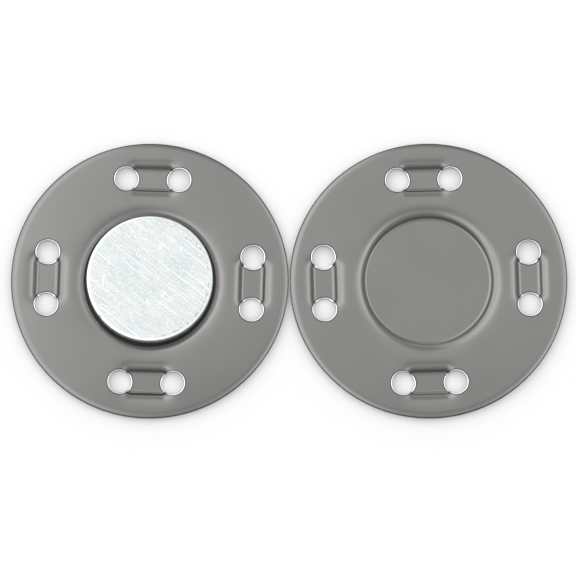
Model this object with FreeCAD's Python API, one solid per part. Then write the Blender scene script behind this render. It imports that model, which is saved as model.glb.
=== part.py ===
import FreeCAD, Part
import math
import os

# A sew-on magnetic snap, opened: two stamped steel discs lie side by side on a table, rims almost touching.
# The left one holds a disc magnet in its recess and the right one is the plain steel half that meets it.
# The origin is the point of the table between the two rims. +X runs from the magnet half to the plain half.

# Driving dimensions, in millimetres and degrees

# Both plates: round stamped sheet with a rolled rim
PLATE_DIA = 28.0
SHEET = 0.5
RIM_ROLL_WIDTH = 0.8
RIM_ROLL_DROP = 0.17

# The magnet, and the glue that holds it
MAGNET_DIA = 12.7
MAGNET_THICKNESS = 2.0
MAGNET_CHAMFER = 0.25
GLUE_FILM = 0.06
GLUE_RISE = 0.2

# The round recess that seats the magnet. Its floor ends this far inside the magnet's edge.
RECESS_DEPTH = 0.5
SEAT_INSET = 0.3

# Sewing holes, in pairs, each pair on a line this far inside the rim
PAIR_COUNT = 4
PAIR_INSET = 3.67
HOLE_DIA = 2.5
HOLE_SPACING = 5.3

# The pressed bar of each pair, which takes the thread below the face
BAR_FLOOR_WIDTH = 1.6
BAR_FLOOR_LENGTH = 3.0
BAR_DEPTH = 0.45
BAR_END_SLOPE = 45.0

# Walls of the recess and of the bars' long sides, measured on the face that the punch touched
WALL_SLOPE = 25.0
WALL_FOOT_BEND = 0.4
WALL_MOUTH_BEND = 1.8

# How the two halves lie
RIM_CLEARANCE = 0.04
MAGNET_HALF_TURN = -1.6
PLAIN_HALF_TURN = 1.5

# The two bends of a wall take no more of its depth than this share
BEND_SHARE = 0.95

UP = FreeCAD.Vector(0, 0, 1)
HERE = FreeCAD.Vector(0, 0, 0)
FULL_TURN = 360.0
QUARTER_TURN = 90.0


class Wall:
    """The sloped wall of a press: a bend at its foot, a straight slope and a bend at its mouth."""

    def __init__(self, depth):
        """Fit the two bends, made smaller where the press is too shallow to hold them."""
        turn = math.radians(WALL_SLOPE)
        drop_per_radius = 1 - math.cos(turn)
        needed = (WALL_FOOT_BEND + WALL_MOUTH_BEND) * drop_per_radius
        fit = min(1.0, BEND_SHARE * depth / needed)
        self.depth = depth
        self.foot = WALL_FOOT_BEND * fit
        self.mouth = WALL_MOUTH_BEND * fit
        bends = self.foot + self.mouth
        self.reach = bends * math.sin(turn) + (depth - bends * drop_per_radius) / math.tan(turn)


RECESS_WALL = Wall(RECESS_DEPTH)
BAR_WALL = Wall(BAR_DEPTH)

# The recess follows the magnet that it seats, and the pairs of holes follow the rim.
RECESS_FLOOR_DIA = MAGNET_DIA - 2 * SEAT_INSET
RECESS_FLOOR_EDGE = RECESS_FLOOR_DIA / 2
RECESS_MOUTH_EDGE = RECESS_FLOOR_EDGE + RECESS_WALL.reach
PAIR_RADIUS = PLATE_DIA / 2 - PAIR_INSET

# Where a plate stands: its deepest press rests on the table.
FLANGE_TOP = max(RECESS_DEPTH, BAR_DEPTH) + SHEET
RECESS_FLOOR = FLANGE_TOP - RECESS_DEPTH
HALF_OFFSET = (PLATE_DIA + RIM_CLEARANCE) / 2


def section_point(across, up):
    """A point of a section in the XZ plane, with its height counted from the flange's face."""
    return FreeCAD.Vector(across, 0, up)


def section_arc(centre, radius, start, end):
    """An arc of a section about centre, from one angle to another, in degrees from the X axis."""
    points = []
    for angle in (start, (start + end) / 2, end):
        way = FreeCAD.Vector(math.cos(math.radians(angle)), 0, math.sin(math.radians(angle)))
        points.append(centre + way * radius)
    return Part.Arc(*points).toShape()


def section_line(start, end):
    """A straight edge of a section."""
    return Part.LineSegment(start, end).toShape()


def wall_edges(floor_edge, wall, behind):
    """The section of a pressed wall, from the floor's edge up to the flange.

    behind is 0 on the face that the punch touched. On the back it is the sheet's thickness: the bends keep
    their centres there, so the sheet is equally thick all the way.
    """
    foot_centre = section_point(floor_edge, wall.foot - wall.depth)
    mouth_centre = section_point(floor_edge + wall.reach, -wall.mouth)
    foot = section_arc(foot_centre, wall.foot + behind, -QUARTER_TURN, WALL_SLOPE - QUARTER_TURN)
    mouth = section_arc(mouth_centre, wall.mouth - behind, QUARTER_TURN + WALL_SLOPE, QUARTER_TURN)
    slope = section_line(foot.Vertexes[-1].Point, mouth.Vertexes[0].Point)
    return [foot, slope, mouth]


def revolved(edges):
    """A solid of revolution about Z from the closed outline that the edges make."""
    face = Part.Face(Part.Wire(edges))
    return face.revolve(HERE, UP, FULL_TURN)


def rim_edges():
    """The section of the rim: the roll that falls away from the flange, and the cut edge under it."""
    rim = PLATE_DIA / 2
    roll_start = section_point(rim - RIM_ROLL_WIDTH, 0)
    roll_radius = (RIM_ROLL_WIDTH**2 + RIM_ROLL_DROP**2) / (2 * RIM_ROLL_DROP)
    roll_angle = math.degrees(math.asin(RIM_ROLL_WIDTH / roll_radius))
    roll = section_arc(roll_start - UP * roll_radius, roll_radius, QUARTER_TURN, QUARTER_TURN - roll_angle)
    cut = section_line(section_point(rim, -RIM_ROLL_DROP), section_point(rim, -SHEET))
    return [roll, cut]


def blank():
    """A round plate with its rolled rim and its recess, before the bars and holes."""
    floor_face = section_point(0, -RECESS_DEPTH)
    floor_back = floor_face - UP * SHEET
    roll, cut = rim_edges()
    edges = [section_line(floor_face, section_point(RECESS_FLOOR_EDGE, -RECESS_DEPTH))]
    edges += wall_edges(RECESS_FLOOR_EDGE, RECESS_WALL, 0)
    edges.append(section_line(section_point(RECESS_MOUTH_EDGE, 0), roll.Vertexes[0].Point))
    edges += [roll, cut]
    edges.append(section_line(cut.Vertexes[-1].Point, section_point(RECESS_MOUTH_EDGE, -SHEET)))
    edges += reversed(wall_edges(RECESS_FLOOR_EDGE, RECESS_WALL, SHEET))
    edges.append(section_line(section_point(RECESS_FLOOR_EDGE, -RECESS_DEPTH - SHEET), floor_back))
    edges.append(section_line(floor_back, floor_face))
    return revolved(edges)


def drawn_out(edges, length):
    """A solid with a section across X and the given length along Y, centred on it."""
    solid = Part.Face(Part.Wire(edges)).extrude(FreeCAD.Vector(0, length, 0))
    solid.translate(FreeCAD.Vector(0, -length / 2, 0))
    return solid


def both_sides(right):
    """A closed section, from the edges of its right side, which run up from the floor."""
    left = [edge.mirror(HERE, FreeCAD.Vector(1, 0, 0)) for edge in right]
    floor = section_line(left[0].Vertexes[0].Point, right[0].Vertexes[0].Point)
    lid = section_line(right[-1].Vertexes[-1].Point, left[-1].Vertexes[-1].Point)
    return [floor] + right + [lid] + left[::-1]


def bar_form(behind):
    """What one bar presses out: the space over it, or with the sheet's thickness behind, its bulge.

    The long sides have the recess's bends. The ends are short slopes, which the sewing holes mostly cut away.
    """
    end_turn = math.radians(BAR_END_SLOPE)
    end_floor = BAR_FLOOR_LENGTH / 2 + behind * math.tan(end_turn / 2)
    end_mouth = end_floor + BAR_DEPTH / math.tan(end_turn)
    end_foot = section_point(end_floor, -BAR_DEPTH - behind)
    sides = wall_edges(BAR_FLOOR_WIDTH / 2, BAR_WALL, behind)
    width = 2 * (BAR_FLOOR_WIDTH / 2 + BAR_WALL.reach + SHEET)
    form = drawn_out(both_sides([section_line(end_foot, section_point(end_mouth, -behind))]), width)
    form.rotate(HERE, UP, QUARTER_TURN)
    form = form.common(drawn_out(both_sides(sides), 2 * (end_mouth + SHEET)))
    form.translate(FreeCAD.Vector(PAIR_RADIUS, 0, 0))
    return form


def sewing_hole(side):
    """The punch of one hole of a pair, on one side of the bar."""
    reach = SHEET + BAR_DEPTH
    foot = FreeCAD.Vector(PAIR_RADIUS, side * HOLE_SPACING / 2, -reach - SHEET)
    return Part.makeCylinder(HOLE_DIA / 2, reach + 2 * SHEET, foot, UP)


def around(shape):
    """A copy of a shape at each pair of holes."""
    copies = []
    for index in range(PAIR_COUNT):
        turned = shape.copy()
        turned.rotate(HERE, UP, index * FULL_TURN / PAIR_COUNT)
        copies.append(turned)
    return copies


def plate():
    """One finished plate, with its axis on Z and the flange's face at its height over the table."""
    bulges = around(bar_form(SHEET))
    cuts = around(bar_form(0)) + around(sewing_hole(-1)) + around(sewing_hole(1))
    solid = blank().fuse(bulges).cut(cuts).removeSplitter()
    solid.translate(UP * FLANGE_TOP)
    return solid.Solids[0]


def recess_space():
    """The open space in the recess, up to the flange's face."""
    floor_middle = section_point(0, -RECESS_DEPTH)
    edges = [section_line(floor_middle, section_point(RECESS_FLOOR_EDGE, -RECESS_DEPTH))]
    edges += wall_edges(RECESS_FLOOR_EDGE, RECESS_WALL, 0)
    edges.append(section_line(section_point(RECESS_MOUTH_EDGE, 0), HERE))
    edges.append(section_line(HERE, floor_middle))
    space = revolved(edges)
    space.translate(UP * FLANGE_TOP)
    return space


def magnet():
    """The disc magnet on its film of glue, with both its edges chamfered."""
    disc = Part.makeCylinder(MAGNET_DIA / 2, MAGNET_THICKNESS, UP * (RECESS_FLOOR + GLUE_FILM), UP)
    rims = [edge for edge in disc.Edges if edge.isClosed()]
    return disc.makeChamfer(MAGNET_CHAMFER, rims)


def adhesive():
    """The glue: a film under the magnet and the bead squeezed out round its foot."""
    filled = Part.makeCylinder(PLATE_DIA / 2, GLUE_RISE, UP * RECESS_FLOOR, UP)
    return recess_space().common(filled).cut(magnet()).Solids[0]


def laid(shape, offset, turn):
    """A shape turned about Z and moved along X to where its half lies."""
    shape.rotate(HERE, UP, turn)
    shape.translate(FreeCAD.Vector(offset, 0, 0))
    return shape


def pieces():
    """Every piece of the snap by its name, where it lies."""
    return {
        "magnet_half_plate": laid(plate(), -HALF_OFFSET, MAGNET_HALF_TURN),
        "magnet": laid(magnet(), -HALF_OFFSET, MAGNET_HALF_TURN),
        "adhesive": laid(adhesive(), -HALF_OFFSET, MAGNET_HALF_TURN),
        "keeper_half_plate": laid(plate(), HALF_OFFSET, PLAIN_HALF_TURN),
    }


os.makedirs("parts", exist_ok=True)
for name, shape in pieces().items():
    shape.exportStep(f"parts/{name}.step")
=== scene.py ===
import logging
import math
from dataclasses import dataclass, field
from enum import Enum
from functools import cached_property

import bmesh
import bpy
from mathutils import Matrix, Vector


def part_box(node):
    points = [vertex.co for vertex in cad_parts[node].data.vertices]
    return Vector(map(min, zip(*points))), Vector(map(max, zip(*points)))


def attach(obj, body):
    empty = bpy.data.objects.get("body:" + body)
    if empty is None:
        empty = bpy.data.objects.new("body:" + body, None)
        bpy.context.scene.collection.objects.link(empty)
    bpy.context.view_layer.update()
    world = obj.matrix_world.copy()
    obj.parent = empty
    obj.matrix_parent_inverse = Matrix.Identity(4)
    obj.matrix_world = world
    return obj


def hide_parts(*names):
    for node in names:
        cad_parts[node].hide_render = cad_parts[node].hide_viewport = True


# Looks of a sew-on magnetic snap, opened: two stamped steel halves lie side by side on a pale table.
# The left half holds a plated disc magnet in a ring of dark glue, and the right one is the plain steel half.
# Sub-assemblies are built in millimetres about their own axis, and laid in metres where the frame says.

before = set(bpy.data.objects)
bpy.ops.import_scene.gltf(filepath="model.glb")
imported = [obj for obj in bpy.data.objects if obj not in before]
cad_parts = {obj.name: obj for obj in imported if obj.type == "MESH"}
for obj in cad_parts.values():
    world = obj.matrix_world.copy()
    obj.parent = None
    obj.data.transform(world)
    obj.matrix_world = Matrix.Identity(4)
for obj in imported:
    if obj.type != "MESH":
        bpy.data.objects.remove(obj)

LOG = logging.getLogger("magnetic_snap")
BODY = "root"

# Units, directions and turns
MM = 0.001
PER_MM = 1000.0
Z_AXIS = Vector((0, 0, 1))
ORIGIN = Vector((0, 0, 0))
FULL_TURN = math.radians(360)
QUARTER_TURN = math.radians(90)
QUARTERS = 4

# Points of a mesh that lie closer than this, in millimetres, are one point.
WELD = 0.0002

# The corners of a plain grid face, and the profile that makes a bevel round
QUAD_CORNERS = 4
ROUND_PROFILE = 0.5

# Types: a span runs from its first value to its second, and a number is given or comes from a node.
Span = tuple[float, float]
Colour = tuple[float, float, float, float]
Socket = bpy.types.NodeSocket
Number = Socket | float


class Half(Enum):
    """The two halves of the snap, each by the CAD node of its plate."""

    MAGNET = "magnet_half_plate"
    PLAIN = "keeper_half_plate"


class Slot(Enum):
    """The record's material slots."""

    PLATE = "plate"
    MAGNET = "magnet"
    ADHESIVE = "adhesive"


# Meshes


def new_object(name: str, data: bpy.types.ID) -> bpy.types.Object:
    """Put a mesh or a camera into the scene as an object at the origin.

    Args:
        name: The object's name.
        data: The mesh or camera that it shows.

    Returns:
        The new object.
    """
    made = bpy.data.objects.new(name, data)
    bpy.context.scene.collection.objects.link(made)
    return made


def as_mesh(bm: bmesh.types.BMesh, name: str) -> bpy.types.Mesh:
    """Turn a finished bmesh into a smooth mesh and free it.

    Args:
        bm: The bmesh, which is freed.
        name: The mesh's name.

    Returns:
        The mesh.
    """
    mesh = bpy.data.meshes.new(name)
    bm.to_mesh(mesh)
    bm.free()
    mesh.polygons.foreach_set("use_smooth", [True] * len(mesh.polygons))
    return mesh


def whole(bm: bmesh.types.BMesh) -> list:
    """Everything in a bmesh, as its operators take it."""
    return bm.verts[:] + bm.edges[:] + bm.faces[:]


def verts_in(geometry: list) -> list[bmesh.types.BMVert]:
    """The vertices among the items that an operator gives back."""
    return [item for item in geometry if isinstance(item, bmesh.types.BMVert)]


def edges_in(geometry: list) -> list[bmesh.types.BMEdge]:
    """The edges among the items that an operator gives back."""
    return [item for item in geometry if isinstance(item, bmesh.types.BMEdge)]


def finish_piece(piece: bpy.types.Object, node: str, material: bpy.types.Material) -> None:
    """Dress a piece, put it in the place of its CAD node and report it.

    Args:
        piece: The piece, at the origin, with its place in its mesh.
        node: The CAD node that it stands for.
        material: Its finish.
    """
    piece.data.materials.append(material)
    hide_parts(node)
    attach(piece, BODY)
    triangles = sum(len(face.vertices) - 2 for face in piece.data.polygons)
    LOG.info("%s: %d triangles", piece.name, triangles)


# The pressed form


@dataclass(frozen=True)
class Wall:
    """A pressed wall: a round bend at its foot, then its steepest slope, which dies away to the flange.

    The depth and the radius of the foot are in millimetres, and the slope in degrees.
    """

    depth: float
    foot: float
    slope: float

    @cached_property
    def foot_end(self) -> float:
        """Where the bend at the foot ends, outward from the floor's edge."""
        return self.foot * math.sin(math.radians(self.slope))

    @cached_property
    def left(self) -> float:
        """The drop that is left where the foot ends."""
        return self.depth - self.foot * (1 - math.cos(math.radians(self.slope)))

    @cached_property
    def fade(self) -> float:
        """The run over which that drop dies away to about a third, which keeps the slope unbroken."""
        return self.left / math.tan(math.radians(self.slope))

    def drop(self, run: float) -> float:
        """How far the face lies below the flange.

        Args:
            run: The distance outward from the floor's edge.

        Returns:
            The drop, from the whole depth on the floor to almost nothing on the flange.
        """
        if run <= 0:
            return self.depth
        if run < self.foot_end:
            return self.depth - self.foot + math.sqrt(self.foot**2 - run**2)
        return self.left * math.exp((self.foot_end - run) / self.fade)


def smooth_step(value: float, low: float, high: float) -> float:
    """A value taken smoothly from nothing at low to one at high, and held outside."""
    share = min(1.0, max(0.0, (value - low) / (high - low)))
    return share * share * (3 - 2 * share)


@dataclass(frozen=True)
class PlatePress:
    """The press that forms a plate: its recess, its four bars and the roll of its rim, in millimetres."""

    rim_radius: float
    sheet: float
    dome_radius: float
    recess_shift: float
    dome_start: float = 8.0
    recess_floor_radius: float = 6.17
    recess: Wall = Wall(depth=0.5, foot=0.38, slope=46.0)
    pair_radius: float = 10.33
    bar_half_width: float = 0.81
    bar_half_length: float = 1.6
    bar_side: Wall = Wall(depth=0.48, foot=0.48, slope=47.0)
    roll_width: float = 0.8
    roll_drop: float = 0.11
    roll_power: float = 3.0

    def press_drop(self, x: float, y: float) -> float:
        """How far the recess and the bar that lies nearest take the face below the flange.

        Args:
            x: The point's place along X, from the plate's axis.
            y: Its place along Y.

        Returns:
            The drop.
        """
        outward, along = max(abs(x), abs(y)), min(abs(x), abs(y))
        across = max(0.0, abs(outward - self.pair_radius) - self.bar_half_width)
        beyond = max(0.0, along - self.bar_half_length)
        recess = self.recess.drop(math.hypot(x - self.recess_shift, y) - self.recess_floor_radius)
        return recess + self.bar_side.drop(math.hypot(across, beyond))

    def fall(self, radius: float) -> float:
        """How far the flange's slight dome and the rim's roll take the face down.

        Args:
            radius: The point's distance from the plate's axis.

        Returns:
            The fall.
        """
        dome = max(0.0, radius - self.dome_start) ** 2 / (2 * self.dome_radius)
        run = max(0.0, radius - self.rim_radius + self.roll_width)
        return dome + self.roll_drop * (run / self.roll_width) ** self.roll_power

    def pressed(self, point: Vector) -> Vector:
        """Where a point of the flat sheet comes to lie, straight below, so that cut walls stay upright.

        Args:
            point: The point, with its depth in the sheet as its height, from nothing down to the thickness.

        Returns:
            The place, with its height counted from the flange's face.
        """
        x, y, depth = point
        fall = self.fall(math.hypot(x, y)) * (1 + depth / self.sheet)
        return Vector((x, y, depth - self.press_drop(x, y) - fall))


# The plate


@dataclass
class StampedPlate:
    """One sewn plate: a round blank that is pierced, pressed and laid in its place.

    Sizes are in millimetres, and the turn in degrees. The grid starts at the eye, which is filled later, and
    each of its zones has an outer radius and a number of rings.
    """

    half: Half
    turn: float
    dome_radius: float
    off_centre: float = 0.0
    recess_shift: float = 0.0
    off_centre_fade: Span = (12.4, 13.1)
    hole_radius: float = 1.1
    hole_roll: float = 0.15
    hole_half_spacing: float = 2.65
    edge_roll: float = 0.05
    edge_margin: float = 0.03
    roll_steps: int = 4
    eye_radius: float = 5.8
    spokes: int = 440
    zones: tuple[tuple[float, int], ...] = ((7.5, 18), (8.2, 3), (12.5, 44), (13.1, 3))
    rim_rings: int = 8
    punch_sides: int = 64
    punch_reach: float = 2.0
    sliver: float = 0.012
    centre: Vector = field(init=False)
    press: PlatePress = field(init=False)

    def __post_init__(self) -> None:
        """Take the plate's place and size from its CAD node, which is as high as two thicknesses of sheet."""
        low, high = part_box(self.half.value)
        self.centre = Vector(((low.x + high.x) / 2, (low.y + high.y) / 2, high.z))
        self.press = PlatePress(rim_radius=(high.x - low.x) / 2 * PER_MM, sheet=high.z / 2 * PER_MM,
                                dome_radius=self.dome_radius, recess_shift=self.recess_shift)

    @property
    def punch_radius(self) -> float:
        """The radius that a hole starts from, before its edge is rolled in."""
        return self.hole_radius + self.hole_roll + self.edge_margin

    @property
    def grid_radius(self) -> float:
        """The radius of the grid, before the rim's edge is rolled in."""
        return self.press.rim_radius - self.edge_roll - self.edge_margin

    def ring_radii(self) -> list[float]:
        """Space the rings of the grid.

        Returns:
            Their radii, from the first beyond the eye out to the grid's edge.
        """
        radii = []
        inner = self.eye_radius
        for outer, rings in (*self.zones, (self.grid_radius, self.rim_rings)):
            radii += [inner + (outer - inner) * ring / rings for ring in range(1, rings + 1)]
            inner = outer
        return radii

    def blank_quarter(self) -> bmesh.types.BMesh:
        """Draw a quarter of the flat blank.

        Returns:
            A grid of rings and spokes centred on +X.
        """
        bm = bmesh.new()
        end = bm.verts.new((self.eye_radius, 0, 0))
        for radius in self.ring_radii():
            end = bmesh.ops.extrude_vert_indiv(bm, verts=[end])["verts"][0]
            end.co.x = radius
        line = bm.verts[:] + bm.edges[:]
        bmesh.ops.spin(bm, geom=line, cent=ORIGIN, axis=Z_AXIS, angle=QUARTER_TURN,
                       steps=self.spokes // QUARTERS)
        centred = Matrix.Rotation(-QUARTER_TURN / 2, 3, "Z")
        bmesh.ops.rotate(bm, verts=bm.verts, cent=ORIGIN, matrix=centred)
        bmesh.ops.recalc_face_normals(bm, faces=bm.faces)
        return bm

    def hole_centres(self) -> list[Vector]:
        """The centres of the pair of holes on +X."""
        reach = self.press.pair_radius
        return [Vector((reach, side * self.hole_half_spacing, 0)) for side in (-1, 1)]

    def hole_punch(self) -> bpy.types.Object:
        """Make the tool that punches the pair of holes.

        Returns:
            Two cylinders that reach well past both faces of the sheet.
        """
        tools = bmesh.new()
        for centre in self.hole_centres():
            bmesh.ops.create_cone(
                tools, cap_ends=True, segments=self.punch_sides, radius1=self.punch_radius,
                radius2=self.punch_radius, depth=self.punch_reach, matrix=Matrix.Translation(centre))
        return new_object("punch", as_mesh(tools, "punch"))

    def pierced(self, flat: bmesh.types.BMesh) -> bmesh.types.BMesh:
        """Punch the pair of holes through the quarter, which has a thickness only while they are cut.

        Args:
            flat: The quarter's grid, which is freed.

        Returns:
            The grid with its two holes, wider than the real ones by the roll of the edge and its margin.
        """
        thickness = self.press.sheet
        grown = bmesh.ops.extrude_face_region(flat, geom=flat.faces[:])["geom"]
        bmesh.ops.translate(flat, verts=verts_in(grown), vec=Z_AXIS * -thickness)
        bmesh.ops.recalc_face_normals(flat, faces=flat.faces)
        sheet = new_object("blank", as_mesh(flat, "blank"))
        punch = self.hole_punch()
        cut = sheet.modifiers.new("pierce", "BOOLEAN")
        cut.operation = "DIFFERENCE"
        cut.solver = "EXACT"
        cut.object = punch
        holed = bpy.data.meshes.new_from_object(sheet.evaluated_get(bpy.context.evaluated_depsgraph_get()))
        bm = bmesh.new()
        bm.from_mesh(holed)
        # The blank and the punch go with their meshes.
        for mesh in (sheet.data, punch.data, holed):
            bpy.data.meshes.remove(mesh)
        just_below = -thickness / 4
        below = [face for face in bm.faces if face.calc_center_median().z < just_below]
        bmesh.ops.delete(bm, geom=below, context="FACES")
        return bm

    def rolled_in(self, bm: bmesh.types.BMesh, edges: list[bmesh.types.BMEdge], centre: Vector, radius: float,
                  roll: float) -> None:
        """Roll an open round edge of the face over into its cut wall, down to the middle of the sheet.

        Args:
            bm: The sheet's face.
            edges: The open edges of one round.
            centre: The round's centre.
            radius: The radius of the cut wall.
            roll: The radius of the roll, less than nothing for a hole, whose wall lies inside the face.
        """
        # The first step draws the face to where the roll begins, and the last takes the wall down.
        for step in range(self.roll_steps + 2):
            grown = bmesh.ops.extrude_edge_only(bm, edges=edges)["geom"]
            edges = edges_in(grown)
            angle = min(step / self.roll_steps, 1) * QUARTER_TURN
            inset = roll * (1 - math.sin(angle))
            height = -abs(roll) * (1 - math.cos(angle))
            if step > self.roll_steps:
                height = -self.press.sheet / 2
            for vert in verts_in(grown):
                away = vert.co - centre
                away.z = 0
                vert.co = centre + away.normalized() * (radius - inset)
                vert.co.z = height

    def open_edges(self, bm: bmesh.types.BMesh, centre: Vector, radius: float) -> list[bmesh.types.BMEdge]:
        """Find the open edges that lie on a circle.

        Args:
            bm: The sheet's face.
            centre: The circle's centre.
            radius: Its radius.

        Returns:
            The edges with both ends within the margin of it.
        """
        found = []
        for edge in bm.edges:
            if edge.is_boundary:
                away = [(vert.co - centre).length for vert in edge.verts]
                if all(abs(length - radius) < self.edge_margin for length in away):
                    found.append(edge)
        return found

    def shift(self, place: Vector) -> Vector:
        """How far a point lies off along X, as the blank wasn't centred in the press: all but its rim."""
        rimward = smooth_step(math.hypot(place.x, place.y), *self.off_centre_fade)
        return Vector((self.off_centre * (1 - rimward), 0, 0))

    def face_quarter(self) -> bmesh.types.BMesh:
        """Make a quarter of the flat plate's face.

        Returns:
            The quarter, pierced, with the edges of its two holes rolled in.
        """
        bm = self.pierced(self.blank_quarter())
        bmesh.ops.remove_doubles(bm, verts=bm.verts, dist=self.sliver)
        crooked = [face for face in bm.faces if len(face.verts) > QUAD_CORNERS]
        bmesh.ops.triangulate(bm, faces=crooked)
        for centre in self.hole_centres():
            loop = self.open_edges(bm, centre, self.punch_radius)
            self.rolled_in(bm, loop, centre, self.hole_radius, -self.hole_roll)
        return bm

    def repeat_round(self, bm: bmesh.types.BMesh) -> None:
        """Repeat the quarter all round, fill the eye and roll the rim's edge in.

        Args:
            bm: The quarter, which becomes the whole face.
        """
        bmesh.ops.spin(bm, geom=whole(bm), cent=ORIGIN, axis=Z_AXIS, angle=(QUARTERS - 1) * QUARTER_TURN,
                       steps=QUARTERS - 1, use_duplicate=True)
        bmesh.ops.remove_doubles(bm, verts=bm.verts, dist=WELD)
        eye = bmesh.ops.contextual_create(bm, geom=self.open_edges(bm, ORIGIN, self.eye_radius))
        bmesh.ops.poke(bm, faces=eye["faces"])
        loop = self.open_edges(bm, ORIGIN, self.grid_radius)
        self.rolled_in(bm, loop, ORIGIN, self.press.rim_radius, self.edge_roll)

    def add_back(self, bm: bmesh.types.BMesh) -> None:
        """Mirror the face and its half of the cut walls about the middle of the sheet.

        Args:
            bm: The face, which becomes the whole flat plate.
        """
        half_sheet = Z_AXIS * self.press.sheet / 2
        bmesh.ops.translate(bm, verts=bm.verts, vec=half_sheet)
        bmesh.ops.mirror(bm, geom=whole(bm), merge_dist=WELD, axis="Z")
        bmesh.ops.translate(bm, verts=bm.verts, vec=-half_sheet)
        bmesh.ops.recalc_face_normals(bm, faces=bm.faces)

    def build(self) -> bpy.types.Object:
        """Shape the plate flat about its own axis, press it and lay it in its place.

        Returns:
            The plate's piece, in metres.
        """
        bm = self.face_quarter()
        self.repeat_round(bm)
        self.add_back(bm)
        for vert in bm.verts:
            vert.co = self.press.pressed(vert.co) + self.shift(vert.co)
        name = f"{self.half.value}_pressing"
        mesh = as_mesh(bm, name)
        placed = Matrix.Translation(self.centre) @ Matrix.Rotation(math.radians(self.turn), 4, "Z")
        mesh.transform(placed @ Matrix.Scale(MM, 4))
        return new_object(name, mesh)

    def dress(self, piece: bpy.types.Object, finish: "SatinGunmetal") -> None:
        """Give the plate its finish, centred on its own axis, and put it in its node's place."""
        finish_piece(piece, self.half.value, finish.material(self))


# The magnet and its glue


@dataclass
class DiscMagnet:
    """The plated disc magnet: a thick disc with rolled edges and a small chip in its top edge.

    Sizes are in millimetres, and the chip's place in degrees from +X. The chipped edge is pushed in, and down
    by chip_fall of that.
    """

    node: str = "magnet"
    off_centre: tuple[float, float, float] = (0.03, -0.045, 0.0)
    edge_roll: float = 0.14
    roll_steps: int = 5
    sides: int = 360
    face_rings: tuple[float, ...] = (0.1, 0.2, 0.3)
    chip_angle: float = 218.0
    chip_half_width: float = 0.13
    chip_depth: float = 0.14
    chip_fall: float = 0.5
    centre: Vector = field(init=False)
    radius: float = field(init=False)
    thickness: float = field(init=False)

    def __post_init__(self) -> None:
        """Take the magnet's place and size from its CAD node."""
        low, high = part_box(self.node)
        middle = Vector(((low.x + high.x) / 2, (low.y + high.y) / 2, low.z))
        self.centre = middle + Vector(self.off_centre) * MM
        self.radius = (high.x - low.x) / 2 * PER_MM
        self.thickness = (high.z - low.z) * PER_MM

    def chip(self, bm: bmesh.types.BMesh) -> None:
        """Push the top edge in and down where the plating is chipped.

        Args:
            bm: The disc, centred on its axis and standing on its back.
        """
        angle = math.radians(self.chip_angle)
        place = Vector((math.cos(angle), math.sin(angle), 0)) * self.radius + Z_AXIS * self.thickness
        for vert in bm.verts:
            nearness = math.exp(-((vert.co - place).length / self.chip_half_width) ** 2)
            inward = Vector((-vert.co.x, -vert.co.y, -self.radius * self.chip_fall)).normalized()
            vert.co += inward * self.chip_depth * nearness

    def build(self) -> bpy.types.Object:
        """Shape the disc about its own axis and lay it in its place.

        Returns:
            The magnet's piece, in metres.
        """
        bm = bmesh.new()
        bmesh.ops.create_circle(bm, cap_ends=True, segments=self.sides, radius=self.radius)
        grown = bmesh.ops.extrude_face_region(bm, geom=bm.faces[:])["geom"]
        bmesh.ops.translate(bm, verts=verts_in(grown), vec=Z_AXIS * self.thickness)
        bmesh.ops.recalc_face_normals(bm, faces=bm.faces)
        rims = [edge for edge in bm.edges if abs(edge.verts[0].co.z - edge.verts[1].co.z) < WELD]
        bmesh.ops.bevel(bm, geom=rims, offset=self.edge_roll, segments=self.roll_steps, profile=ROUND_PROFILE,
                        affect="EDGES", material=-1)
        faces = [face for face in bm.faces if len(face.verts) > QUAD_CORNERS]
        for width in self.face_rings:
            bmesh.ops.inset_individual(bm, faces=faces, thickness=width, use_even_offset=True)
        bmesh.ops.poke(bm, faces=faces)
        self.chip(bm)
        mesh = as_mesh(bm, "magnet_disc")
        mesh.transform(Matrix.Translation(self.centre) @ Matrix.Scale(MM, 4))
        return new_object("magnet_disc", mesh)

    def dress(self, piece: bpy.types.Object, finish: "BrightPlating") -> None:
        """Give the magnet its plating and put it in its node's place."""
        material = finish.material(self.centre, self.radius - self.edge_roll)
        finish_piece(piece, self.node, material)


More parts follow.
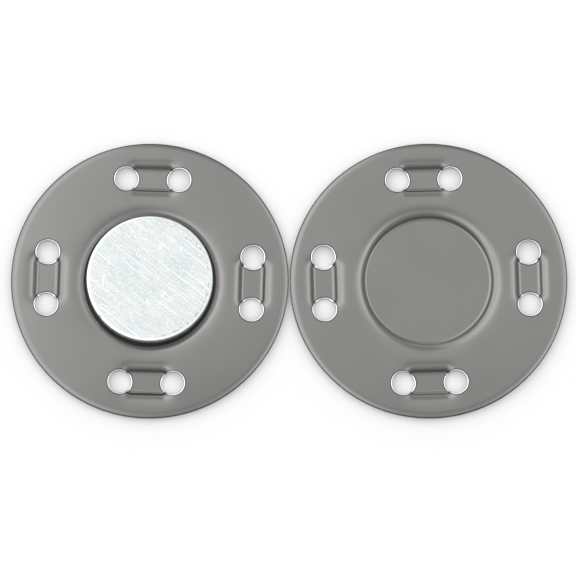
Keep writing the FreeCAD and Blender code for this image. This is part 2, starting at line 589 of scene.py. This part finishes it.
@dataclass
class GlueRing:
    """The dark glue squeezed out round the magnet's foot, uneven as it dried.

    Sizes are in millimetres. The outline is the ring's section, out from the axis and up from the recess's
    floor. What lies above ripple_from is raised and lowered by waves, and each has its number round the ring,
    its phase and its share of the ripple.
    """

    magnet: DiscMagnet
    node: str = "adhesive"
    steps: int = 240
    outline: tuple[Span, ...] = (
        (5.9, 0.02), (6.62, 0.24), (6.54, 0.215), (6.45, 0.23), (6.39, 0.29), (6.352, 0.38), (6.3, 0.38),
        (6.3, 0.12), (5.9, 0.06))
    ripple: float = 0.0175
    ripple_from: float = 0.205
    waves: tuple[tuple[int, float, float], ...] = ((3, 0.6, 1.0), (7, 2.1, 0.5), (17, 4.0, 0.25))

    def build(self) -> bpy.types.Object:
        """Spin the ring about the magnet's axis, ripple it and lay it in its place.

        Returns:
            The glue's piece, in metres.
        """
        low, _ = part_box(self.node)
        bm = bmesh.new()
        verts = [bm.verts.new((across, 0, up)) for across, up in self.outline]
        edges = [bm.edges.new(pair) for pair in zip(verts, verts[1:] + verts[:1])]
        bmesh.ops.spin(bm, geom=verts + edges, cent=ORIGIN, axis=Z_AXIS, angle=FULL_TURN, steps=self.steps,
                       use_merge=True)
        bmesh.ops.remove_doubles(bm, verts=bm.verts, dist=WELD)
        bmesh.ops.recalc_face_normals(bm, faces=bm.faces)
        for vert in bm.verts:
            if vert.co.z > self.ripple_from:
                angle = math.atan2(vert.co.y, vert.co.x)
                wave = sum(share * math.sin(number * angle + phase) for number, phase, share in self.waves)
                vert.co.z += self.ripple * wave
        mesh = as_mesh(bm, "glue_ring")
        place = Vector((self.magnet.centre.x, self.magnet.centre.y, low.z))
        mesh.transform(Matrix.Translation(place) @ Matrix.Scale(MM, 4))
        return new_object("glue_ring", mesh)

    def dress(self, piece: bpy.types.Object, finish: "DarkGlue") -> None:
        """Give the glue its gloss and put it in its node's place."""
        finish_piece(piece, self.node, finish.material(self.magnet.centre))


# Finishes

# The scale at which a wave texture has about one band to a unit
WAVE_SCALE = 1.0 / math.pi

# The inputs of a Mix node and its colour output by number, because its kinds of value share their names
MIX_FACTOR = 0
MIX_NUMBER_A = 2
MIX_NUMBER_B = 3
MIX_COLOUR_A = 6
MIX_COLOUR_B = 7
MIX_COLOUR_RESULT = 2


class NodeSheet:
    """The nodes of one material or world, added and joined from left to right."""

    def __init__(self, tree: bpy.types.NodeTree) -> None:
        """Start from an empty tree."""
        tree.nodes.clear()
        self.tree = tree

    def add(self, kind: str, values: dict | None = None, **settings: str | bool) -> bpy.types.Node:
        """Add a node.

        Args:
            kind: The node's type, without its ShaderNode prefix.
            values: Values or sockets for its inputs, by name or number.
            settings: Its properties.

        Returns:
            The node.
        """
        node = self.tree.nodes.new(f"ShaderNode{kind}")
        for name, value in settings.items():
            setattr(node, name, value)
        for key, value in (values or {}).items():
            if isinstance(value, Socket):
                self.tree.links.new(value, node.inputs[key])
            else:
                node.inputs[key].default_value = value
        return node

    def show(self, values: dict) -> None:
        """End a material with a Principled surface, given values or sockets for its inputs."""
        shader = self.add("BsdfPrincipled", values)
        self.add("OutputMaterial", {"Surface": shader.outputs[0]})

    def math(self, operation: str, first: Number, second: Number = 0.0, clamp: bool = False) -> Socket:
        """The result of a Math node on two values or sockets."""
        return self.add("Math", {0: first, 1: second}, operation=operation, use_clamp=clamp).outputs[0]

    def ramp(self, value: Number, low: float, high: float, to_low: float = 0.0,
             to_high: float = 1.0) -> Socket:
        """A value taken smoothly from one range to another, and held outside it."""
        sockets = {"Value": value, "From Min": low, "From Max": high, "To Min": to_low, "To Max": to_high}
        return self.add("MapRange", sockets, interpolation_type="SMOOTHSTEP").outputs["Result"]

    def blend(self, amount: Number, first: Colour | Socket, second: Colour | Socket) -> Socket:
        """A colour between two colours or sockets."""
        values = {MIX_FACTOR: amount, MIX_COLOUR_A: first, MIX_COLOUR_B: second}
        return self.add("Mix", values, data_type="RGBA").outputs[MIX_COLOUR_RESULT]

    def millimetres(self, centre: Vector, turn: float = 0.0) -> Socket:
        """Measure places from a centre.

        Args:
            centre: The centre, in metres.
            turn: The angle by which the places are turned about Z, in degrees.

        Returns:
            The object's coordinates about the centre, in millimetres.
        """
        local = self.add("TexCoord").outputs["Object"]
        moved = self.add("Mapping", {"Vector": local, "Location": tuple(-centre * PER_MM),
                                     "Scale": (PER_MM,) * 3}).outputs[0]
        return self.add("Mapping", {"Vector": moved, "Rotation": (0, 0, math.radians(turn))}).outputs[0]

    def stretched(self, vector: Socket, scales: tuple[float, float, float]) -> Socket:
        """A vector with each of its parts scaled."""
        return self.add("Mapping", {"Vector": vector, "Scale": scales}).outputs[0]

    def folded(self, vector: Socket) -> Socket:
        """A vector with each of its parts made positive, so that a pattern repeats on all four sides."""
        return self.add("VectorMath", {0: vector}, operation="ABSOLUTE").outputs[0]

    def radius(self, vector: Socket) -> Socket:
        """Measure the distance from the Z axis.

        Args:
            vector: The place.

        Returns:
            Its distance.
        """
        parts = self.add("SeparateXYZ", {"Vector": vector})
        flat = self.add("CombineXYZ", {"X": parts.outputs["X"], "Y": parts.outputs["Y"]})
        return self.add("VectorMath", {0: flat.outputs[0]}, operation="LENGTH").outputs["Value"]


@dataclass(frozen=True)
class Mottle:
    """A noise over a finish, with the span of it that counts and the values that the span is taken to."""

    per_mm: float
    detail: float
    span: Span
    to: Span = (0.0, 1.0)
    roughness: float = 0.5

    def noise(self, sheet: NodeSheet, place: Socket) -> Socket:
        """The noise as it is, from nothing to one, at a place in millimetres."""
        sockets = {"Vector": place, "Scale": self.per_mm, "Detail": self.detail, "Roughness": self.roughness}
        return sheet.add("TexNoise", sockets).outputs["Fac"]

    def taken(self, sheet: NodeSheet, place: Socket) -> Socket:
        """The noise with its span taken to its values."""
        return sheet.ramp(self.noise(sheet, place), *self.span, *self.to)


@dataclass(frozen=True)
class Relief:
    """How strongly a finish's marks stand out of its surface, and how deep they are in millimetres."""

    strength: float
    depth: float

    def normal(self, sheet: NodeSheet, height: Socket) -> Socket:
        """The direction that a surface with these marks faces."""
        sockets = {"Height": height, "Strength": self.strength, "Distance": self.depth * MM}
        return sheet.add("Bump", sockets).outputs[0]


def surface(name: str) -> tuple[bpy.types.Material, NodeSheet]:
    """Start a node material.

    Args:
        name: The material's name.

    Returns:
        The material and its empty sheet.
    """
    material = bpy.data.materials.new(name)
    material.use_nodes = True
    return material, NodeSheet(material.node_tree)


@dataclass(frozen=True)
class SatinGunmetal:
    """The smooth grey finish of the stamped steel, and at its edges a painted shade line, a painted highlight
    on the lip and the bare wall.

    The painted shade line and the painted highlight on the lip run over distances in millimetres from where an
    edge's roll begins, less than nothing on the roll, and the wall over shares of the roll.
    """

    dark: Colour = (0.1635, 0.162, 0.157, 1)
    light: Colour = (0.1758, 0.1743, 0.1687, 1)
    # Painted shade: the near-black of the line painted just inside each cut edge.
    shade: Colour = (0.012, 0.012, 0.012, 1)
    # Painted highlight: the near-white metal painted on the lip where each edge's roll begins.
    painted_highlight: Colour = (0.80, 0.80, 0.79, 1)
    cut: Colour = (0.24, 0.238, 0.232, 1)
    roughness: Span = (0.10, 0.18)
    grain_rough: Span = (0.2, 0.8)
    clouds: Mottle = Mottle(per_mm=0.16, detail=2.0, span=(0.3, 0.7), to=(0.0, 0.6))
    grain: Mottle = Mottle(per_mm=14.0, detail=2.0, span=(0.3, 0.7), to=(0.0, 0.4))
    patches: Mottle = Mottle(per_mm=1.3, detail=4.0, span=(0.25, 0.65), to=(0.8, 1.0), roughness=0.7)
    relief: Relief = Relief(strength=0.02, depth=0.02)
    # The span of the painted highlight on the lip.
    lip: Span = (0.0, -0.03)
    # The span of the painted shade line.
    line: Span = (0.12, 0.03)
    wall: Span = (-0.80, -0.95)

    def edge_distances(self, sheet: NodeSheet, plate: StampedPlate) -> tuple[Socket, Socket]:
        """How far a point of the plate lies from its rolled edges.

        Args:
            sheet: The material's nodes.
            plate: The plate.

        Returns:
            The distances from where the roll of the nearest hole begins and from where the rim's begins, in
            millimetres, less than nothing on the roll and the wall.
        """
        blank = sheet.millimetres(plate.centre, -plate.turn)
        pattern = sheet.add("VectorMath", {0: blank, 1: (-plate.off_centre, 0, 0)}, operation="ADD")
        parts = sheet.add("SeparateXYZ", {"Vector": sheet.folded(pattern.outputs[0])})
        outward = sheet.math("MAXIMUM", parts.outputs["X"], parts.outputs["Y"])
        along = sheet.math("MINIMUM", parts.outputs["X"], parts.outputs["Y"])
        offset = sheet.add("CombineXYZ", {"X": sheet.math("SUBTRACT", outward, plate.press.pair_radius),
                                          "Y": sheet.math("SUBTRACT", along, plate.hole_half_spacing)})
        hole_mouth = plate.hole_radius + plate.hole_roll
        from_hole = sheet.math("SUBTRACT", sheet.radius(offset.outputs[0]), hole_mouth)
        from_rim = sheet.math("SUBTRACT", plate.press.rim_radius - plate.edge_roll, sheet.radius(blank))
        return from_hole, from_rim

    def edged(self, sheet: NodeSheet, plate: StampedPlate, plain: Socket, patches: Socket) -> Socket:
        """Colour the edges of the holes and the rim, with a painted shade line and a painted highlight.

        Args:
            sheet: The material's nodes.
            plate: The plate.
            plain: The colour away from the edges.
            patches: How strong the painted shade line and the painted highlight on the lip are from place to
                place.

        Returns:
            The colour with each edge's painted shade line, painted highlight on the lip, and wall.
        """
        from_hole, from_rim = self.edge_distances(sheet, plate)
        inward = sheet.math("MINIMUM", from_hole, from_rim)
        # Painted shade: a dark line just inside where each edge's roll begins.
        line = sheet.math("MULTIPLY", sheet.ramp(inward, *self.line), patches)
        # Painted highlight: a bright lip where each edge's roll begins, laid over the dark line.
        lip = sheet.math("MULTIPLY", sheet.ramp(inward, *self.lip), patches)
        colour = sheet.blend(lip, sheet.blend(line, plain, self.shade), self.painted_highlight)
        for distance, roll in ((from_hole, plate.hole_roll), (from_rim, plate.edge_roll)):
            wall = sheet.ramp(distance, *(share * roll for share in self.wall))
            colour = sheet.blend(wall, colour, self.cut)
        return colour

    def material(self, plate: StampedPlate) -> bpy.types.Material:
        """The finish for one plate.

        Args:
            plate: The plate.

        Returns:
            The material.
        """
        material, sheet = surface(f"satin_gunmetal_{plate.half.name.lower()}")
        place = sheet.millimetres(plate.centre, -plate.turn)
        tone = sheet.math("ADD", self.clouds.taken(sheet, place), self.grain.taken(sheet, place))
        plain = sheet.blend(tone, self.dark, self.light)
        grain = self.grain.noise(sheet, place)
        sheet.show({"Base Color": self.edged(sheet, plate, plain, self.patches.taken(sheet, place)),
                    "Metallic": 1.0,
                    "Roughness": sheet.ramp(grain, *self.grain_rough, *self.roughness),
                    "Normal": self.relief.normal(sheet, grain)})
        return material


@dataclass(frozen=True)
class GrindingLines:
    """Thin, nearly straight grinding lines on the magnet's face, broken here and there.

    Each pair of scales is along a line and across it, the second for one line to a millimetre. The waver bends
    the lines a little.
    """

    per_mm: float
    strength: float
    scales: Span = (0.05, 1.0)
    waver: float = 2.4
    waver_detail: float = 1.0
    waver_scale: float = 2.2
    waver_roughness: float = 0.5
    crest: Span = (0.93, 1.0)
    break_scales: Span = (0.24, 1.9)
    breaks: Mottle = Mottle(per_mm=1.0, detail=2.0, span=(0.32, 0.60))

    def laid(self, sheet: NodeSheet, ground: Socket, scales: Span) -> Socket:
        """The ground drawn out along the lines and packed across them."""
        along, across = scales
        return sheet.stretched(ground, (along, across * self.per_mm, 1.0))

    def mask(self, sheet: NodeSheet, ground: Socket) -> Socket:
        """Draw the lines.

        Args:
            sheet: The material's nodes.
            ground: Millimetres about the magnet's axis, with X along the lines.

        Returns:
            The lines' strength on a line and nothing between.
        """
        waves = sheet.add("TexWave", {"Vector": self.laid(sheet, ground, self.scales),
                                      "Scale": WAVE_SCALE,
                                      "Distortion": self.waver,
                                      "Detail": self.waver_detail,
                                      "Detail Scale": self.waver_scale,
                                      "Detail Roughness": self.waver_roughness}, bands_direction="Y")
        crests = sheet.ramp(waves.outputs["Fac"], *self.crest)
        kept = self.breaks.taken(sheet, self.laid(sheet, ground, self.break_scales))
        return sheet.math("MULTIPLY", sheet.math("MULTIPLY", crests, kept), self.strength)


@dataclass(frozen=True)
class Scratch:
    """One straight scratch in the magnet's plating, in millimetres from its axis and degrees from +X.

    The core is the share of its width that is bright all through.
    """

    across: float
    up: float
    angle: float
    length: float
    width: float = 0.11
    core: float = 0.25

    def mask(self, sheet: NodeSheet, centre: Vector) -> Socket:
        """Draw the scratch.

        Args:
            sheet: The material's nodes.
            centre: The magnet's axis, in metres.

        Returns:
            One on the scratch and nothing off it.
        """
        middle = centre + Vector((self.across, self.up, 0)) * MM
        local = sheet.folded(sheet.millimetres(middle, -self.angle))
        parts = sheet.add("SeparateXYZ", {"Vector": local})
        along = sheet.ramp(parts.outputs["X"], self.length / 2, self.length / 2 - self.width)
        beside = sheet.ramp(parts.outputs["Y"], self.width, self.width * self.core)
        return sheet.math("MULTIPLY", along, beside)


@dataclass(frozen=True)
class BrightPlating:
    """The magnet's bright plating over a ground face: slanting lines, a fine hatch, specks and scratches, and
    a painted highlight round its edge.

    Distances are in millimetres, and lines_turn is the angle in degrees that lays the lines along X. A dark
    seam shows just inside the edge on the right, where the plating ends.
    """

    cool: Colour = (0.390, 0.427, 0.435, 1)
    warm: Colour = (0.437, 0.457, 0.450, 1)
    # The colour of the marks, and of the painted highlight round the face's edge.
    bright: Colour = (0.66, 0.68, 0.67, 1)
    dull: Colour = (0.20, 0.21, 0.21, 1)
    roughness: Span = (0.29, 0.42)
    hatch_rough: Span = (0.0, 0.4)
    tint: Mottle = Mottle(per_mm=0.42, detail=2.0, span=(0.35, 0.65))
    hatch: Mottle = Mottle(per_mm=1.0, detail=2.0, span=(0.42, 0.72), to=(0.0, 0.46))
    hatch_scales: tuple[float, float, float] = (0.6, 8.0, 1.0)
    specks: Mottle = Mottle(per_mm=6.6, detail=2.0, span=(0.48, 0.70), to=(0.0, 0.85), roughness=0.8)
    lines_turn: float = 38.5
    fine: GrindingLines = GrindingLines(per_mm=2.7, strength=0.4)
    bold: GrindingLines = GrindingLines(per_mm=1.2, strength=0.72)
    relief: Relief = Relief(strength=0.06, depth=0.03)
    # The painted highlight round the edge: its width, and the shift of its centre that widens it toward -X and
    # -Y.
    highlight_width: float = 0.16
    highlight_shift: Span = (0.13, 0.07)
    seam_inset: float = 0.27
    seam_fade: Span = (0.06, 0.01)
    seam_start: Span = (0.6, 1.2)
    seam_dots: Mottle = Mottle(per_mm=2.1, detail=2.0, span=(0.50, 0.60), roughness=0.6)
    scratches: tuple[Scratch, ...] = (
        Scratch(across=3.17, up=3.04, angle=52.0, length=0.62, width=0.15),
        Scratch(across=-4.62, up=-0.10, angle=84.0, length=1.3),
        Scratch(across=1.40, up=-1.60, angle=48.0, length=0.85),
        Scratch(across=1.07, up=3.20, angle=60.0, length=0.60),
        Scratch(across=-0.20, up=-2.25, angle=-68.0, length=0.60),
    )

    def marks(self, sheet: NodeSheet, centre: Vector, hatch: Socket) -> Socket:
        """Gather the bright marks of the face.

        Args:
            sheet: The material's nodes.
            centre: The magnet's axis, in metres.
            hatch: The fine hatch.

        Returns:
            One on a mark and nothing on the plain plating.
        """
        ground = sheet.millimetres(centre, self.lines_turn)
        specks = self.specks.taken(sheet, sheet.millimetres(centre))
        small = sheet.math("MAXIMUM", hatch, specks)
        marks = sheet.math("ADD", small, self.fine.mask(sheet, ground), clamp=True)
        marks = sheet.math("MAXIMUM", marks, self.bold.mask(sheet, ground))
        for scratch in self.scratches:
            marks = sheet.math("MAXIMUM", marks, scratch.mask(sheet, centre))
        return marks

    def seam(self, sheet: NodeSheet, place: Socket, face_radius: float) -> Socket:
        """Draw the broken dark seam.

        Args:
            sheet: The material's nodes.
            place: Millimetres about the magnet's axis.
            face_radius: The radius of its flat face.

        Returns:
            One on the seam and nothing off it.
        """
        inset = sheet.math("SUBTRACT", sheet.radius(place), face_radius - self.seam_inset)
        ring = sheet.ramp(sheet.math("ABSOLUTE", inset), *self.seam_fade)
        right = sheet.ramp(sheet.add("SeparateXYZ", {"Vector": place}).outputs["X"], *self.seam_start)
        dots = self.seam_dots.taken(sheet, place)
        return sheet.math("MULTIPLY", sheet.math("MULTIPLY", ring, right), dots)

    def material(self, centre: Vector, face_radius: float) -> bpy.types.Material:
        """The magnet's finish.

        Args:
            centre: The magnet's axis, in metres.
            face_radius: The radius of its flat face, in millimetres.

        Returns:
            The material.
        """
        material, sheet = surface("bright_plating")
        place = sheet.millimetres(centre)
        ground = sheet.millimetres(centre, self.lines_turn)
        hatch = self.hatch.taken(sheet, sheet.stretched(ground, self.hatch_scales))
        marks = self.marks(sheet, centre, hatch)
        # Painted highlight: the edge of the face and its roll are painted bright, in a band that is wider
        # toward -X and -Y.
        highlight_centre = sheet.millimetres(centre + Vector((*self.highlight_shift, 0)) * MM)
        edge = sheet.ramp(sheet.radius(highlight_centre), face_radius - self.highlight_width, face_radius)
        plain = sheet.blend(self.tint.taken(sheet, place), self.cool, self.warm)
        colour = sheet.blend(sheet.math("MAXIMUM", marks, edge), plain, self.bright)
        sheet.show({"Base Color": sheet.blend(self.seam(sheet, place, face_radius), colour, self.dull),
                    "Metallic": 1.0,
                    "Roughness": sheet.ramp(hatch, *self.hatch_rough, *self.roughness),
                    "Normal": self.relief.normal(sheet, marks)})
        return material


@dataclass(frozen=True)
class DarkGlue:
    """The black, half glossy glue, whose lumps are duller and blacker."""

    thin: Colour = (0.014, 0.013, 0.012, 1)
    thick: Colour = (0.004, 0.004, 0.004, 1)
    lumps: Mottle = Mottle(per_mm=2.6, detail=4.0, span=(0.3, 0.7), to=(0.30, 0.53))
    relief: Relief = Relief(strength=0.3, depth=0.06)
    specular: float = 0.3

    def material(self, centre: Vector) -> bpy.types.Material:
        """The glue's finish.

        Args:
            centre: The ring's axis, in metres.

        Returns:
            The material.
        """
        material, sheet = surface("dark_glue")
        place = sheet.millimetres(centre)
        lumps = self.lumps.noise(sheet, place)
        sheet.show({"Base Color": sheet.blend(lumps, self.thin, self.thick),
                    "Roughness": self.lumps.taken(sheet, place),
                    "Specular IOR Level": self.specular,
                    "Normal": self.relief.normal(sheet, lumps)})
        return material


@dataclass(frozen=True)
class PaleTable:
    """The matt white of a light table, which is lit a little from below."""

    colour: Colour = (0.512, 0.513, 0.518, 1)
    roughness: float = 0.9
    specular: float = 0.1
    glow: float = 0.51

    def material(self) -> bpy.types.Material:
        """The table's finish.

        Returns:
            The material.
        """
        material, sheet = surface("pale_table")
        sheet.show({"Base Color": self.colour,
                    "Roughness": self.roughness,
                    "Specular IOR Level": self.specular,
                    "Emission Color": self.colour,
                    "Emission Strength": self.glow})
        return material


# The studio


@dataclass(frozen=True)
class SoftPanel:
    """One soft light of the tent over the table, by angles from straight up in degrees.

    Each side runs from where the panel is full to where it has faded out. Left and right are to -X and +X,
    near is the viewer's side and far is the other.
    """

    left: Span
    right: Span
    near: Span
    far: Span
    level: float

    def glow(self, sheet: NodeSheet, tilts: list[Socket]) -> Socket:
        """Light the panel.

        Args:
            sheet: The world's nodes.
            tilts: A direction's angles from straight up, toward +X and toward the far side.

        Returns:
            The panel's level inside it and nothing outside.
        """
        share: Number = self.level
        for tilt, sides in zip(tilts, ((self.left, self.right), (self.near, self.far))):
            for full, faded in sides:
                share = sheet.math("MULTIPLY", sheet.ramp(tilt, faded, full), share)
        return share


@dataclass(frozen=True)
class Studio:
    """The white table, the light tent over it and the camera.

    The spans of the fill are angles in degrees, and the table and the camera's distance are in metres. The
    middle of the pair lies at centre_pixel of a square picture of image_side pixels, and the scale is in
    pixels to a millimetre.
    """

    near_fill: float = 0.28
    far_fill: float = 1.0
    fill_span: Span = (-86.0, -24.0)
    side_fill: float = 0.66
    side_span: Span = (56.0, 82.0)
    backdrop: float = 1.0
    horizon: float = 0.001
    panels: tuple[SoftPanel, ...] = (
        SoftPanel(left=(-50, -72), right=(-15, 1), near=(-2, -48), far=(26, 76), level=1.36),
        SoftPanel(left=(31, 3), right=(34, 60), near=(-9, -25), far=(20, 46), level=1.48),
        SoftPanel(left=(-5, -30), right=(5, 30), near=(9.6, 0.4), far=(18, 33), level=0.55),
        SoftPanel(left=(-30, -50), right=(30, 50), near=(-12, -34), far=(-10, -2), level=0.25),
        SoftPanel(left=(-30, -50), right=(30, 50), near=(64, 48), far=(72, 84), level=0.35),
    )
    table_half_width: float = 3.0
    camera_distance: float = 0.5
    elevation: float = 81.7
    sensor: float = 36.0
    image_side: int = 576
    scale: float = 9.943
    centre_pixel: Span = (289.15, 280.3)

    def lay_table(self) -> None:
        """Lay the table under the snap."""
        bm = bmesh.new()
        bmesh.ops.create_grid(bm, x_segments=1, y_segments=1, size=self.table_half_width)
        table = new_object("table", as_mesh(bm, "table"))
        table.data.materials.append(PaleTable().material())

    def tilts(self, sheet: NodeSheet) -> list[Socket]:
        """Measure a direction's angles from straight up.

        Args:
            sheet: The world's nodes.

        Returns:
            The angle toward +X and the angle toward the far side, in degrees. What is level or lower counts
            as almost level.
        """
        way = sheet.add("SeparateXYZ", {"Vector": sheet.add("TexCoord").outputs["Generated"]})
        over = sheet.math("MAXIMUM", way.outputs["Z"], self.horizon)
        turns = [sheet.math("ARCTAN2", way.outputs[axis], over) for axis in "XY"]
        return [sheet.math("MULTIPLY", turn, math.degrees(1)) for turn in turns]

    def light(self) -> None:
        """Hang the light tent: a world that is bright where the soft panels are, with a plain backdrop."""
        world = bpy.data.worlds.new("light_tent")
        world.use_nodes = True
        sheet = NodeSheet(world.node_tree)
        tilts = self.tilts(sheet)
        total = sheet.ramp(tilts[1], *self.fill_span, self.near_fill, self.far_fill)
        aside = sheet.math("ABSOLUTE", tilts[0])
        total = sheet.math("MULTIPLY", total, sheet.ramp(aside, *self.side_span, 1.0, self.side_fill))
        for panel in self.panels:
            total = sheet.math("ADD", panel.glow(sheet, tilts), total)
        seen = sheet.add("LightPath").outputs["Is Camera Ray"]
        values = {MIX_FACTOR: seen, MIX_NUMBER_A: total, MIX_NUMBER_B: self.backdrop}
        strength = sheet.add("Mix", values, data_type="FLOAT").outputs[0]
        glow = sheet.add("Background", {"Color": (1, 1, 1, 1), "Strength": strength})
        sheet.add("OutputWorld", {"Surface": glow.outputs[0]})
        bpy.context.scene.world = world

    def aim_camera(self, height: float) -> None:
        """Set the camera up at the photograph's angle.

        Args:
            height: The height of the flange's face, which the picture's scale is measured on.
        """
        middle = self.image_side / 2
        tilt = math.radians(self.elevation)
        right = (middle - self.centre_pixel[0]) / self.scale * MM
        down = (middle - self.centre_pixel[1]) / self.scale * MM
        target = Vector((right, -down / math.sin(tilt), height))
        back = Vector((0, -math.cos(tilt), math.sin(tilt)))
        lens = bpy.data.cameras.new("camera")
        lens.sensor_width = self.sensor
        lens.lens = self.sensor * self.camera_distance / (self.image_side / self.scale * MM)
        camera = new_object("camera", lens)
        camera.location = target + back * self.camera_distance
        camera.rotation_euler = (-back).to_track_quat("-Z", "Y").to_euler()
        bpy.context.scene.camera = camera

    def build(self, height: float) -> None:
        """Set the whole studio up, with plain photographic colour.

        Args:
            height: The height of the flange's face, in metres.
        """
        self.lay_table()
        self.light()
        self.aim_camera(height)
        bpy.context.scene.view_settings.view_transform = "Standard"


def main() -> None:
    """Build and dress every piece of the snap, then the studio."""
    logging.basicConfig(level=logging.INFO, format="%(message)s")
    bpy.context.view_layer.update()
    magnet_half = StampedPlate(Half.MAGNET, turn=-1.6, dome_radius=200.0, off_centre=-0.03)
    plain_half = StampedPlate(Half.PLAIN, turn=1.5, dome_radius=400.0, off_centre=-0.18, recess_shift=0.14)
    gunmetal = SatinGunmetal()
    for plate in (magnet_half, plain_half):
        plate.dress(plate.build(), gunmetal)
    magnet = DiscMagnet()
    magnet.dress(magnet.build(), BrightPlating())
    glue = GlueRing(magnet)
    glue.dress(glue.build(), DarkGlue())
    Studio().build(magnet_half.centre.z)


if __name__ == "__main__":
    main()
